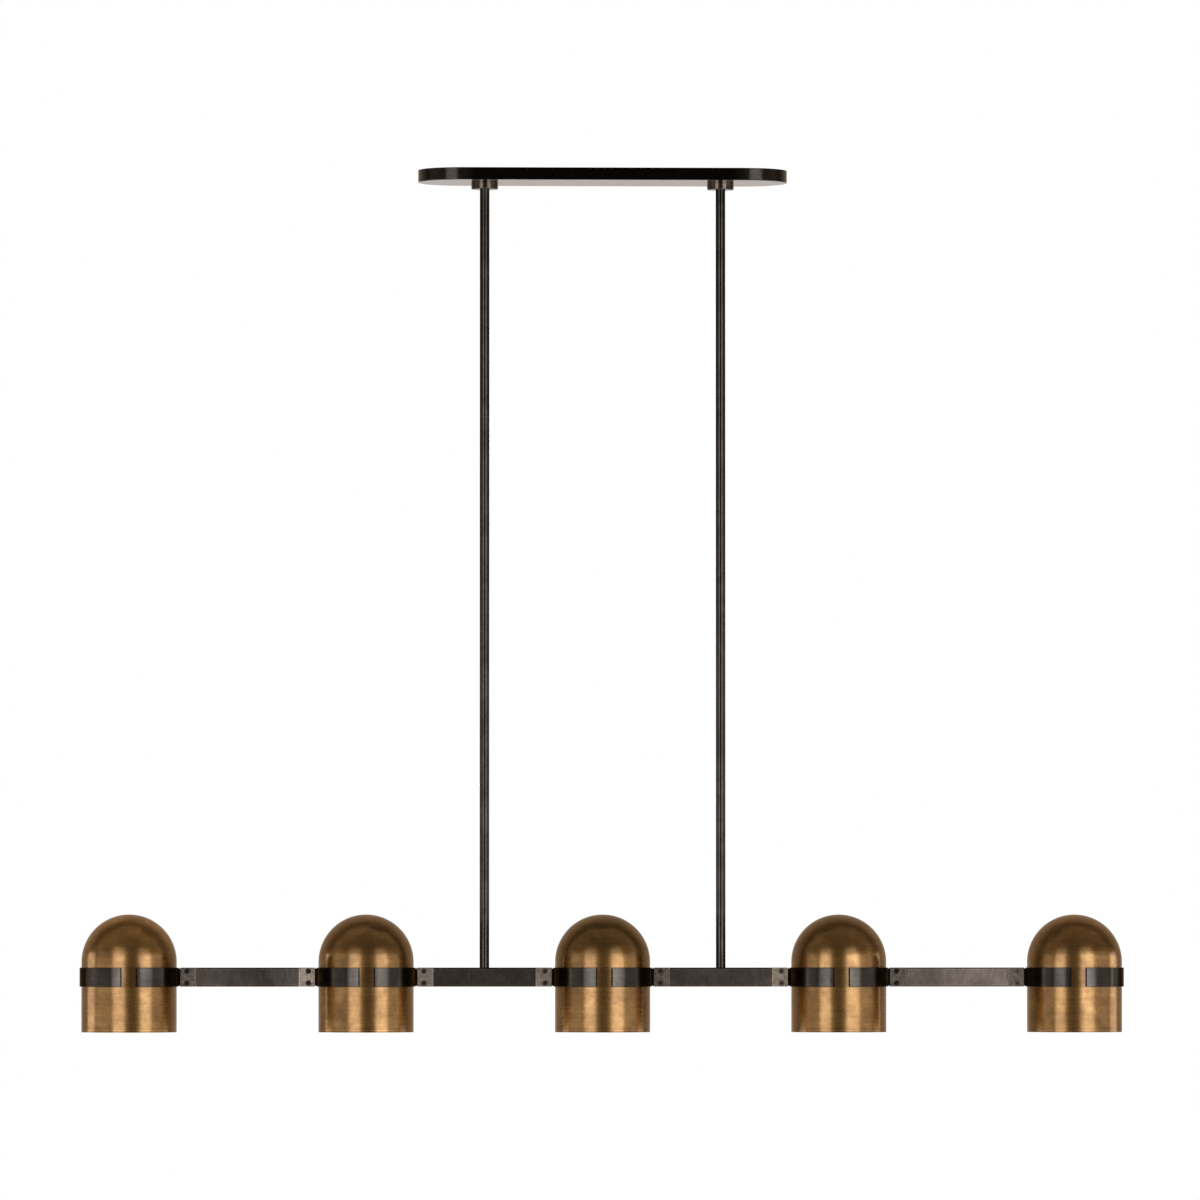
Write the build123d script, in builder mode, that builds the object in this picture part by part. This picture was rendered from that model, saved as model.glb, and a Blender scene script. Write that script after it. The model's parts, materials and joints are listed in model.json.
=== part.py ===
"""Linear island pendant: a capsule canopy, two rods, a run of bars and five strap-held shades.

Sizes are in millimetres. +Z is up, +X runs along the row of shades and the front faces -Y.
The origin is the middle of the canopy, where it meets the ceiling.
"""

import os
from math import sqrt

from build123d import *

# ---------------------------------------------------------------- layout
shade_count = 5
shade_pitch = 316.0
rod_exposed_length = 1041.0     # from the underside of a collar to the top of a bar
bar_above_rim = 73.4            # middle of the bars above the open rims of the shades

# ---------------------------------------------------------------- clearances, all on the radius
slip_clearance = 0.05           # pieces screwed or pushed into each other
slide_clearance = 0.5           # canopy and collars round the rods they slide on
contact_gap = 0.3               # bulb base inside its lampholder

# ---------------------------------------------------------------- canopy and collars
canopy_length = 494.0
canopy_depth = 120.0
canopy_height = 16.4
canopy_wall = 1.2
canopy_edge_radius = 1.0
collar_diameter = 35.7
collar_height = 9.2
collar_chamfer = 1.0
grub_diameter = 4.0
grub_recess = 1.0               # outer end of the grub screw below the collar's surface
grub_socket_width = 2.0
grub_socket_depth = 2.0

# ---------------------------------------------------------------- ceiling crossbar
crossbar_width = 38.0
crossbar_thickness = 2.0
crossbar_drop = 7.5             # step down from the ceiling pad to the rod ends
crossbar_pad_length = 180.0     # stretch that lies flat on the ceiling
crossbar_slope_length = 12.0
crossbar_end_margin = 22.0      # beyond the rod holes
crossbar_bend_radius = 3.0
crossbar_corner_radius = 4.0
outlet_slot_spacing = 79.4
outlet_slot_length = 14.4
outlet_slot_width = 4.8
anchor_hole_spacing = 150.0
anchor_hole_diameter = 5.5
ground_screw_x = 61.0
ground_screw_diameter = 4.0
ground_head_diameter = 8.0
ground_head_height = 2.4
ground_slot_width = 1.0
ground_slot_depth = 1.2

# ---------------------------------------------------------------- rods and their fittings
rod_diameter = 12.7
rod_wall = 1.5
pipe_bore = 6.4                 # wire way through every hollow nipple and bolt
pipe_engagement = 20.0          # length of a nipple or stud inside a rod
hanger_nut_width = 15.0
hanger_nut_thickness = 3.5
hanger_nipple_proud = 1.0       # above its upper nut
foot_stud_diameter = 8.0
foot_stud_bore = 5.0
foot_block_length = 24.0
foot_block_height = 12.0

# ---------------------------------------------------------------- bars and their joints
bar_height = 25.4
bar_depth = 12.7
bar_wall = 1.5
bar_corner_radius = 1.6
tongue_wall = 2.4
tongue_in_bar = 20.0
tongue_end_gap = 0.5            # from the tongue's end to the bottom of the lug's pocket
screw_diameter = 4.0
screw_head_diameter = 7.5
screw_length = 4.2
screw_spacing = 15.9
screw_from_neck = 9.15          # screw centres, from the end of the lug at its neck
screw_hole_clearance = 0.2

# ---------------------------------------------------------------- straps and lugs
strap_thickness = 2.5
strap_gap = 20.5                # split at the front and at the back
strap_edge_chamfer = 0.4
lug_reach = 90.0                # from a shade's axis to where its lug meets the bar
lug_depth = 14.0
lug_chamfer = 0.8
lug_web = 6.0                   # solid metal between the shade and the lug's pocket
neck_length = 1.8
neck_step = 1.0                 # neck narrower than the lug, all round

# ---------------------------------------------------------------- shades
shade_diameter = 127.0
shade_wall = 1.2
shade_straight_height = 93.5    # cylinder below the half-round dome
rim_hem_height = 3.0
rim_hem_thickness = 0.8         # turned-in edge, added to the wall

# ---------------------------------------------------------------- bridges and their bolts
bridge_width = 20.0
bridge_flange_thickness = 2.3
bridge_flange_drop = 10.0       # flange below the middle of the strap
bridge_shoulder = 16.0          # flange above the middle of the strap
bridge_above_rim = 119.0        # underside of the flat top that carries the lampholder
bridge_top_width = 76.0
bridge_bend_radius = 5.0
wireway_head_width = 14.0
wireway_head_height = 3.5
end_screw_diameter = 5.0
end_screw_head_diameter = 9.0
end_screw_head_height = 3.0
end_screw_short = 0.4           # screw stops this far inside the strap's outer face

# ---------------------------------------------------------------- lampholders
socket_diameter = 34.0
socket_length = 40.0
socket_roof = 4.5
socket_shoulder = 5.0
socket_lip_diameter = 37.0
socket_lip_height = 3.0
socket_cavity_diameter = 27.8
socket_mouth_flare = 3.0
shell_thickness = 0.5
shell_length = 26.0
contact_diameter = 7.0
contact_thickness = 0.8
lock_nut_width = 15.0
lock_nut_thickness = 4.0
lock_nut_proud = 1.5            # nipple above its nut
nipple_in_roof = 3.0

# ---------------------------------------------------------------- bulbs
bulb_length = 88.0
globe_diameter = 48.0
glass_wall = 1.0
neck_diameter = 25.0
neck_curve_radius = 30.0
neck_in_base = 8.0
base_length = 25.0
base_wall = 0.4
base_cone_length = 4.0
tip_diameter = 9.0
tip_height = 2.0

# ---------------------------------------------------------------- heights and places that follow
canopy_floor_z = canopy_wall - canopy_height
collar_top_z = -canopy_height
rod_foot_z = collar_top_z - collar_height - rod_exposed_length
bar_z = rod_foot_z - bar_height / 2
rim_z = bar_z - bar_above_rim
dome_z = rim_z + shade_straight_height
bridge_z = rim_z + bridge_above_rim

seat_z = -crossbar_drop         # top face of the crossbar's lowered ends
seat_under_z = seat_z - crossbar_thickness
rod_top_z = seat_under_z - hanger_nut_thickness

rod_radius = rod_diameter / 2
rod_bore_radius = rod_radius - rod_wall
pipe_radius = rod_bore_radius - slip_clearance
tapped_radius = pipe_radius + slip_clearance
bar_bore_depth = bar_depth - 2 * bar_wall
bar_bore_height = bar_height - 2 * bar_wall

shade_radius = shade_diameter / 2
shade_bore_radius = shade_radius - shade_wall
strap_bore_radius = shade_radius + slip_clearance
strap_radius = strap_bore_radius + strap_thickness
lug_start = strap_radius + neck_length
pocket_start = strap_bore_radius + lug_web
screw_reach = lug_start + screw_from_neck
flange_outer = shade_bore_radius - slip_clearance
flange_inner = flange_outer - bridge_flange_thickness

first_shade_x = -shade_pitch * (shade_count - 1) / 2
shade_xs = [first_shade_x + shade_pitch * i for i in range(shade_count)]
bar_xs = [x + shade_pitch / 2 for x in shade_xs[:-1]]
rod_bars = [shade_count // 2 - 1, shade_count // 2]     # the bars that the rods stand on
rod_xs = [bar_xs[i] for i in rod_bars]

LEFT = -1
RIGHT = 1


def save(part, name):
    """Label a finished piece and write it out."""
    part.label = name
    export_step(part, f"parts/{name}.step")


def has_bar(index, side):
    """Whether a bar meets this side of a shade. The row's two ends have none."""
    return 0 <= index + side < shade_count


def joints():
    """Each place where a lug meets a bar: the shade's middle and the side that it is on."""
    return [(x, side) for i, x in enumerate(shade_xs) for side in (LEFT, RIGHT) if has_bar(i, side)]


def side_plane(shade_x, side, reach):
    """A plane across the row at a distance from a shade's axis, facing away from the shade."""
    return Plane(origin=(shade_x + side * reach, 0, bar_z), x_dir=(0, side, 0), z_dir=(side, 0, 0))


def upright_plane(x, z):
    """A plane along the row for the profile of a turned piece whose axis stands at x."""
    return Plane(origin=(x, 0, z), x_dir=(1, 0, 0), z_dir=(0, -1, 0))


def upright_axis(x):
    return Axis((x, 0, 0), (0, 0, 1))


def make_hex_nut(width, thickness, bore_radius):
    """A nut standing on the origin."""
    with BuildPart() as nut:
        with BuildSketch():
            RegularPolygon(width / 2, 6, major_radius=False)
            Circle(bore_radius, mode=Mode.SUBTRACT)
        extrude(amount=thickness)
    return nut.part


def make_pipe(length, radius, bore_radius):
    """A hollow round piece standing on the origin."""
    with BuildPart() as pipe:
        with BuildSketch():
            Circle(radius)
            Circle(bore_radius, mode=Mode.SUBTRACT)
        extrude(amount=length)
    return pipe.part


def copies(piece, places):
    """One node that holds the same piece at several places."""
    with BuildPart() as group:
        with Locations(*places):
            add(piece)
    return group.part


# ================================================================ ceiling
def make_crossbar():
    """A joggled strap: the middle lies on the ceiling, the lowered ends carry the rods."""
    half_pad = crossbar_pad_length / 2
    foot = half_pad + crossbar_slope_length
    end = rod_xs[-1] + crossbar_end_margin
    high = -crossbar_thickness / 2
    low = high - crossbar_drop
    with BuildPart() as crossbar:
        with BuildSketch(Plane.XZ):
            with BuildLine():
                FilletPolyline((-end, low), (-foot, low), (-half_pad, high),
                               (half_pad, high), (foot, low), (end, low),
                               radius=crossbar_bend_radius)
            trace(line_width=crossbar_thickness)
        extrude(amount=crossbar_width / 2, both=True)
        with BuildSketch():
            RectangleRounded(2 * end, crossbar_width, crossbar_corner_radius)
        extrude(amount=2 * crossbar_drop, both=True, mode=Mode.INTERSECT)
        with BuildSketch():
            with GridLocations(outlet_slot_spacing, 0, 2, 1):
                SlotOverall(outlet_slot_length, outlet_slot_width)
            with GridLocations(anchor_hole_spacing, 0, 2, 1):
                Circle(anchor_hole_diameter / 2)
            with Locations((ground_screw_x, 0)):
                Circle(ground_screw_diameter / 2 + slip_clearance)
            with Locations(*[(x, 0) for x in rod_xs]):
                Circle(tapped_radius)
        extrude(amount=2 * crossbar_drop, both=True, mode=Mode.SUBTRACT)
    return crossbar.part


def make_ground_screw():
    """A slotted pan-head screw, head down, in the crossbar's pad."""
    head_z = -crossbar_thickness - ground_head_height
    with BuildPart() as screw:
        with BuildSketch(Plane.XY.offset(head_z)):
            with Locations((ground_screw_x, 0)):
                Circle(ground_head_diameter / 2)
        extrude(amount=ground_head_height)
        with BuildSketch(Plane.XY.offset(-crossbar_thickness)):
            with Locations((ground_screw_x, 0)):
                Circle(ground_screw_diameter / 2)
        extrude(amount=crossbar_thickness)
        with BuildSketch(Plane.XY.offset(head_z)):
            with Locations((ground_screw_x, 0)):
                Rectangle(ground_head_diameter, ground_slot_width)
        extrude(amount=ground_slot_depth, mode=Mode.SUBTRACT)
    return screw.part


def make_canopy():
    """An open-topped capsule pan with a hole for each rod."""
    with BuildPart() as canopy:
        with BuildSketch():
            SlotOverall(canopy_length, canopy_depth)
        extrude(amount=-canopy_height)
        fillet(canopy.faces().sort_by(Axis.Z)[0].edges(), canopy_edge_radius)
        with BuildSketch():
            SlotOverall(canopy_length - 2 * canopy_wall, canopy_depth - 2 * canopy_wall)
        extrude(amount=canopy_floor_z, mode=Mode.SUBTRACT)
        with BuildSketch(Plane.XY.offset(-canopy_height)):
            with Locations(*[(x, 0) for x in rod_xs]):
                Circle(rod_radius + slide_clearance)
        extrude(amount=canopy_wall, mode=Mode.SUBTRACT)
    return canopy.part


def make_collar(rod_x):
    """The ring that holds the canopy up, with a tapped hole for its grub screw at the back."""
    with BuildPart() as collar:
        with BuildSketch(Plane.XY.offset(collar_top_z - collar_height)):
            with Locations((rod_x, 0)):
                Circle(collar_diameter / 2)
        extrude(amount=collar_height)
        chamfer(collar.faces().sort_by(Axis.Z)[0].edges(), collar_chamfer)
        with BuildSketch(Plane.XY.offset(collar_top_z - collar_height)):
            with Locations((rod_x, 0)):
                Circle(rod_radius + slide_clearance)
        extrude(amount=collar_height, mode=Mode.SUBTRACT)
        with BuildSketch(back_plane(rod_x, 0)):
            Circle(grub_diameter / 2 + slip_clearance)
        extrude(amount=collar_diameter / 2, mode=Mode.SUBTRACT)
    return collar.part


def back_plane(rod_x, reach):
    """A plane that faces the back, at mid height of the collars."""
    height = collar_top_z - collar_height / 2
    return Plane(origin=(rod_x, reach, height), x_dir=(-1, 0, 0), z_dir=(0, 1, 0))


def make_grub_screw(rod_x):
    """The collar's grub screw, its tip at the rod and a hex socket in its outer end."""
    tip = rod_radius + contact_gap
    outer_end = collar_diameter / 2 - grub_recess
    with BuildPart() as grub:
        with BuildSketch(back_plane(rod_x, tip)):
            Circle(grub_diameter / 2)
        extrude(amount=outer_end - tip)
        with BuildSketch(back_plane(rod_x, outer_end)):
            RegularPolygon(grub_socket_width / 2, 6, major_radius=False)
        extrude(amount=-grub_socket_depth, mode=Mode.SUBTRACT)
    return grub.part


# ================================================================ rods
def make_rod(rod_x):
    with BuildPart() as rod:
        with BuildSketch(Plane.XY.offset(rod_foot_z)):
            with Locations((rod_x, 0)):
                Circle(rod_radius)
                Circle(rod_bore_radius, mode=Mode.SUBTRACT)
        extrude(amount=rod_top_z - rod_foot_z)
    return rod.part


def make_foot_stud():
    """The hollow stepped stud in a rod's foot: its shoulder sits on the bar at the origin."""
    with BuildPart() as stud:
        with BuildSketch():
            Circle(pipe_radius)
        extrude(amount=pipe_engagement)
        with BuildSketch():
            Circle(foot_stud_diameter / 2)
        extrude(amount=-(bar_wall + foot_block_height))
        with BuildSketch(Plane.XY.offset(pipe_engagement)):
            Circle(foot_stud_bore / 2)
        extrude(amount=-(pipe_engagement + bar_wall + foot_block_height), mode=Mode.SUBTRACT)
    return stud.part


def make_foot_block():
    """The tapped block that the foot stud draws up against the inside of the bar's top wall."""
    with BuildPart() as block:
        with BuildSketch(Plane.XY.offset(-bar_wall)):
            Rectangle(foot_block_length, bar_bore_depth - 2 * slip_clearance)
            Circle(foot_stud_diameter / 2 + slip_clearance, mode=Mode.SUBTRACT)
        extrude(amount=-foot_block_height)
    return block.part


# ================================================================ bars and their joints
def make_bar(index):
    """A rectangular tube between two lugs. The bars under the rods have a hole for the stud."""
    bar_length = shade_pitch - 2 * lug_reach
    with BuildPart() as bar:
        with BuildSketch(side_plane(shade_xs[index], RIGHT, lug_reach)):
            RectangleRounded(bar_depth, bar_height, bar_corner_radius)
            Rectangle(bar_bore_depth, bar_bore_height, mode=Mode.SUBTRACT)
        extrude(amount=bar_length)
        if index in rod_bars:
            with BuildSketch(Plane.XY.offset(rod_foot_z)):
                with Locations((bar_xs[index], 0)):
                    Circle(foot_stud_diameter / 2 + slip_clearance)
            extrude(amount=-bar_wall, mode=Mode.SUBTRACT)
    return bar.part


def screw_places(shade_x, side):
    """The two screws on the front of a lug, each on a plane that faces the front."""
    x = shade_x + side * screw_reach
    return [Plane(origin=(x, -lug_depth / 2, bar_z + half * screw_spacing / 2),
                  x_dir=(1, 0, 0), z_dir=(0, -1, 0)) for half in (-1, 1)]


def make_tongues():
    """The hollow blocks that plug each lug into its bar, tapped for the lug's two screws."""
    start = pocket_start + tongue_end_gap
    depth = bar_bore_depth - 2 * slip_clearance
    skin = (lug_depth - depth) / 2      # from the lug's front face to the tongue
    with BuildPart() as tongues:
        for shade_x, side in joints():
            with BuildSketch(side_plane(shade_x, side, start)):
                Rectangle(depth, bar_bore_height)
                Rectangle(depth - 2 * tongue_wall, bar_bore_height - 2 * tongue_wall,
                          mode=Mode.SUBTRACT)
            extrude(amount=lug_reach + tongue_in_bar - start)
        for shade_x, side in joints():
            with Locations(*screw_places(shade_x, side)):
                Hole(screw_diameter / 2 + slip_clearance, depth=skin + tongue_wall)
    return tongues.part


def make_joint_screw():
    """A flush screw with a countersunk head: its face lies on the origin and it points down."""
    head_radius = screw_head_diameter / 2
    shank_radius = screw_diameter / 2
    with BuildPart() as screw:
        with BuildSketch(Plane.XZ):
            with BuildLine():
                Polyline((0, 0), (head_radius, 0), (shank_radius, shank_radius - head_radius),
                         (shank_radius, -screw_length), (0, -screw_length), close=True)
            make_face()
        revolve(axis=Axis.Z)
    return screw.part


# ================================================================ straps
def make_lug(shade_x, side):
    """A neck and a bevelled block, with the pocket for the tongue and two countersinks."""
    with BuildPart() as lug:
        with BuildSketch(side_plane(shade_x, side, lug_start)) as section:
            Rectangle(lug_depth, bar_height)
            chamfer(section.vertices(), lug_chamfer)
        extrude(amount=lug_reach - lug_start)
        for end_face in lug.faces().filter_by(Axis.X):
            chamfer(end_face.edges(), lug_chamfer)
        with BuildSketch(side_plane(shade_x, side, shade_radius)):
            Rectangle(lug_depth - 2 * neck_step, bar_height - 2 * neck_step)
        extrude(amount=pocket_start - shade_radius)
        with BuildSketch(side_plane(shade_x, side, pocket_start)):
            Rectangle(bar_bore_depth, bar_bore_height)
        extrude(amount=lug_reach - pocket_start, mode=Mode.SUBTRACT)
        with Locations(*screw_places(shade_x, side)):
            CounterSinkHole(screw_diameter / 2 + screw_hole_clearance,
                            screw_head_diameter / 2 + slip_clearance,
                            depth=lug_depth / 2, counter_sink_angle=90)
    return lug.part


def make_half_strap(index, side):
    """Half of a split strap. Towards a bar it carries a lug, at the row's ends it is plain."""
    shade_x = shade_xs[index]
    lugs = [make_lug(shade_x, side)] if has_bar(index, side) else []
    reach = lug_reach if lugs else strap_radius - end_screw_short
    with BuildPart() as clamp:
        with BuildSketch(Plane.XY.offset(bar_z - bar_height / 2)):
            with Locations((shade_x, 0)):
                Circle(strap_radius)
        extrude(amount=bar_height)
        chamfer(clamp.edges().filter_by(GeomType.CIRCLE), strap_edge_chamfer)
        for lug in lugs:
            add(lug)
        with BuildSketch(Plane.XY.offset(bar_z - bar_height / 2)):
            with Locations((shade_x, 0)):
                Circle(strap_bore_radius)
            with Locations((shade_x - side * lug_reach, 0)):
                Rectangle(2 * lug_reach + strap_gap, 2 * lug_reach)
        extrude(amount=bar_height, mode=Mode.SUBTRACT)
        with BuildSketch(side_plane(shade_x, side, 0)):
            Circle(bolt_hole_radius(index, side))
        extrude(amount=reach, mode=Mode.SUBTRACT)
    return clamp.part


# ================================================================ shades
def bolt_hole_radius(index, side):
    """Hole for a hollow bolt towards a bar, or for a plain screw at the row's ends."""
    return tapped_radius if has_bar(index, side) else end_screw_diameter / 2 + slip_clearance


def make_shade(index):
    """A cylinder with a half-round dome and a turned-in rim, drilled at both sides."""
    x = shade_xs[index]
    hem_radius = shade_bore_radius - rim_hem_thickness
    slant = shade_radius * sqrt(0.5)
    inner_slant = shade_bore_radius * sqrt(0.5)
    with BuildPart() as shade:
        with BuildSketch(upright_plane(x, dome_z)):
            with BuildLine():
                ThreePointArc((0, shade_radius), (slant, slant), (shade_radius, 0))
                Line((shade_radius, 0), (shade_radius, -shade_straight_height))
                Line((shade_radius, -shade_straight_height), (hem_radius, -shade_straight_height))
                Line((hem_radius, -shade_straight_height),
                     (hem_radius, rim_hem_height - shade_straight_height))
                Line((hem_radius, rim_hem_height - shade_straight_height),
                     (shade_bore_radius, rim_hem_height - shade_straight_height))
                Line((shade_bore_radius, rim_hem_height - shade_straight_height),
                     (shade_bore_radius, 0))
                ThreePointArc((shade_bore_radius, 0), (inner_slant, inner_slant),
                              (0, shade_bore_radius))
                Line((0, shade_bore_radius), (0, shade_radius))
            make_face()
        revolve(axis=upright_axis(x))
        for side in (LEFT, RIGHT):
            with BuildSketch(side_plane(x, side, 0)):
                Circle(bolt_hole_radius(index, side))
            extrude(amount=shade_diameter, mode=Mode.SUBTRACT)
    return shade.part


# ================================================================ inside a shade
def make_bridge(index):
    """The bent strip inside a shade. Its flanges back the strap and its top holds the lamp."""
    x = shade_xs[index]
    middle = flange_outer - bridge_flange_thickness / 2
    low = bar_z - bridge_flange_drop
    shoulder = bar_z + bridge_shoulder
    top = bridge_z + bridge_flange_thickness / 2
    half_top = bridge_top_width / 2
    with BuildPart() as bridge:
        with BuildSketch(upright_plane(x, 0)):
            with BuildLine():
                FilletPolyline((-middle, low), (-middle, shoulder), (-half_top, top),
                               (half_top, top), (middle, shoulder), (middle, low),
                               radius=bridge_bend_radius)
            trace(line_width=bridge_flange_thickness)
        extrude(amount=bridge_width / 2, both=True)
        with BuildSketch(Plane.XY.offset(low)):
            with Locations((x, 0)):
                Circle(flange_outer)
        extrude(amount=top + bridge_flange_thickness - low, mode=Mode.INTERSECT)
        for side in (LEFT, RIGHT):
            with BuildSketch(side_plane(x, side, flange_inner - bridge_flange_thickness)):
                Circle(bolt_hole_radius(index, side))
            extrude(amount=3 * bridge_flange_thickness, mode=Mode.SUBTRACT)
        with BuildSketch(Plane.XY.offset(bridge_z)):
            with Locations((x, 0)):
                Circle(tapped_radius)
        extrude(amount=bridge_flange_thickness, mode=Mode.SUBTRACT)
    return bridge.part


def make_wireway_bolt():
    """The hollow bolt from inside a shade into a lug. Its head's seat lies on the origin."""
    length = pocket_start - flange_inner
    with BuildPart() as bolt:
        with BuildSketch():
            RegularPolygon(wireway_head_width / 2, 6, major_radius=False)
        extrude(amount=-wireway_head_height)
        with BuildSketch():
            Circle(pipe_radius)
        extrude(amount=length)
        with BuildSketch(Plane.XY.offset(length)):
            Circle(pipe_bore / 2)
        extrude(amount=-(length + wireway_head_height), mode=Mode.SUBTRACT)
    return bolt.part


def make_end_screw():
    """The short screw from inside an end shade into its outer half strap."""
    length = strap_radius - end_screw_short - flange_inner
    with BuildPart() as screw:
        with BuildSketch():
            Circle(end_screw_head_diameter / 2)
        extrude(amount=-end_screw_head_height)
        with BuildSketch():
            Circle(end_screw_diameter / 2)
        extrude(amount=length)
    return screw.part


def make_socket(shade_x):
    """A lampholder: a roofed cup with a sloped shoulder and a lip round its mouth."""
    radius = socket_diameter / 2
    cavity = socket_cavity_diameter / 2
    mouth = cavity + socket_mouth_flare / 2
    lip = socket_lip_diameter / 2
    with BuildPart() as socket:
        with BuildSketch(upright_plane(shade_x, bridge_z)):
            with BuildLine():
                Polyline((0, 0), (radius - socket_shoulder, 0), (radius, -socket_shoulder),
                         (radius, socket_lip_height - socket_length),
                         (lip, socket_lip_height - socket_length), (lip, -socket_length),
                         (mouth, -socket_length), (cavity, socket_mouth_flare - socket_length),
                         (cavity, -socket_roof), (0, -socket_roof), close=True)
            make_face()
        revolve(axis=upright_axis(shade_x))
        with BuildSketch(Plane.XY.offset(bridge_z)):
            with Locations((shade_x, 0)):
                Circle(tapped_radius)
        extrude(amount=-nipple_in_roof, mode=Mode.SUBTRACT)
    return socket.part


# ================================================================ bulbs
bulb_top_z = bridge_z - socket_roof - contact_thickness - contact_gap
bulb_tip_z = bulb_top_z - bulb_length
base_foot_z = bulb_top_z - base_length
globe_z = bulb_tip_z + globe_diameter / 2
base_radius = socket_cavity_diameter / 2 - slip_clearance - shell_thickness - contact_gap


def glass_outline(inset):
    """Half the bulb's outline, a wall's thickness inside the glass, closed along the axis."""
    globe = globe_diameter / 2 - inset
    neck = neck_diameter / 2 - inset
    curve = neck_curve_radius + inset
    # the neck's hollow curve touches the straight neck and the globe
    curve_x = neck + curve
    curve_z = sqrt((globe + curve) ** 2 - curve_x ** 2)
    share = globe / (globe + curve)
    meet = (curve_x * share, curve_z * share)
    bend = (curve_x - curve * sqrt(0.5 + curve_x / (globe + curve) / 2),
            curve_z - curve * sqrt(0.5 - curve_x / (globe + curve) / 2))
    top = base_foot_z + neck_in_base - globe_z
    slant = globe * sqrt(0.5)
    Line((0, top), (neck, top))
    Line((neck, top), (neck, curve_z))
    ThreePointArc((neck, curve_z), bend, meet)
    ThreePointArc(meet, (slant, -slant), (0, -globe))
    Line((0, -globe), (0, top))


def make_glass(shade_x):
    """The hollow glass of a bulb, open where its neck sits in the base."""
    with BuildPart() as glass:
        with BuildSketch(upright_plane(shade_x, globe_z)):
            with BuildLine():
                glass_outline(0)
            make_face()
            with BuildLine():
                glass_outline(glass_wall)
            make_face(mode=Mode.SUBTRACT)
        revolve(axis=upright_axis(shade_x))
    return glass.part


def make_base(shade_x):
    """The bulb's metal base: a thin cup round the glass neck, up to the centre contact."""
    bore = neck_diameter / 2 + slip_clearance
    tip = tip_diameter / 2
    shoulder = -tip_height - base_cone_length
    with BuildPart() as base:
        with BuildSketch(upright_plane(shade_x, bulb_top_z)):
            with BuildLine():
                Polyline((0, 0), (tip, 0), (tip, -tip_height), (base_radius, shoulder),
                         (base_radius, -base_length), (bore, -base_length), (bore, shoulder),
                         (tip, -tip_height - base_wall), (0, -tip_height - base_wall), close=True)
            make_face()
        revolve(axis=upright_axis(shade_x))
    return base.part


# ================================================================ build and write
os.makedirs("parts", exist_ok=True)

save(make_crossbar(), "ceiling_crossbar")
save(make_ground_screw(), "ground_screw")
save(make_canopy(), "canopy")

nipple_top_z = seat_z + hanger_nut_thickness + hanger_nipple_proud
nipple_foot_z = rod_top_z - pipe_engagement
hanger_nipple = make_pipe(nipple_top_z - nipple_foot_z, pipe_radius, pipe_bore / 2)
hanger_nut = make_hex_nut(hanger_nut_width, hanger_nut_thickness, tapped_radius)
save(copies(hanger_nipple, [(x, 0, nipple_foot_z) for x in rod_xs]), "hanger_nipples")
save(copies(hanger_nut, [(x, 0, z) for x in rod_xs for z in (seat_z, rod_top_z)]), "hanger_nuts")

for name, rod_x in zip(("left", "right"), rod_xs):
    save(make_collar(rod_x), f"{name}_collar")
    save(make_grub_screw(rod_x), f"{name}_collar_screw")
    save(make_rod(rod_x), f"{name}_rod")

save(copies(make_foot_stud(), [(x, 0, rod_foot_z) for x in rod_xs]), "rod_foot_studs")
save(copies(make_foot_block(), [(x, 0, rod_foot_z) for x in rod_xs]), "rod_foot_blocks")

for index in range(shade_count - 1):
    save(make_bar(index), f"bar_{index + 1}")
save(make_tongues(), "bar_tongues")
screw_spots = [place for shade_x, side in joints() for place in screw_places(shade_x, side)]
save(copies(make_joint_screw(), screw_spots), "joint_screws")

for index, shade_x in enumerate(shade_xs):
    number = index + 1
    for name, side in (("left", LEFT), ("right", RIGHT)):
        save(make_half_strap(index, side), f"strap_{number}_{name}")
    save(make_shade(index), f"shade_{number}")
    save(make_bridge(index), f"bridge_{number}")
    save(make_socket(shade_x), f"socket_{number}")
    save(make_glass(shade_x), f"bulb_{number}")
    save(make_base(shade_x), f"bulb_base_{number}")

bolt_spots = [side_plane(shade_x, side, flange_inner) for shade_x, side in joints()]
save(copies(make_wireway_bolt(), bolt_spots), "wireway_bolts")
end_spots = [side_plane(shade_xs[0], LEFT, flange_inner), side_plane(shade_xs[-1], RIGHT, flange_inner)]
save(copies(make_end_screw(), end_spots), "end_strap_screws")

shell_radius = socket_cavity_diameter / 2 - slip_clearance
screw_shell = make_pipe(shell_length, shell_radius, shell_radius - shell_thickness)
with BuildPart() as centre_contact:
    with BuildSketch():
        Circle(contact_diameter / 2)
    extrude(amount=-contact_thickness)
roof_z = bridge_z - socket_roof
nipple_z = bridge_z - nipple_in_roof
nut_z = bridge_z + bridge_flange_thickness
socket_nipple = make_pipe(nut_z + lock_nut_thickness + lock_nut_proud - nipple_z,
                          pipe_radius, pipe_bore / 2)
lock_nut = make_hex_nut(lock_nut_width, lock_nut_thickness, tapped_radius)
save(copies(screw_shell, [(x, 0, roof_z - shell_length) for x in shade_xs]), "socket_shells")
save(copies(centre_contact.part, [(x, 0, roof_z) for x in shade_xs]), "socket_contacts")
save(copies(socket_nipple, [(x, 0, nipple_z) for x in shade_xs]), "socket_nipples")
save(copies(lock_nut, [(x, 0, nut_z) for x in shade_xs]), "socket_lock_nuts")
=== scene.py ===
import json
import math

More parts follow.
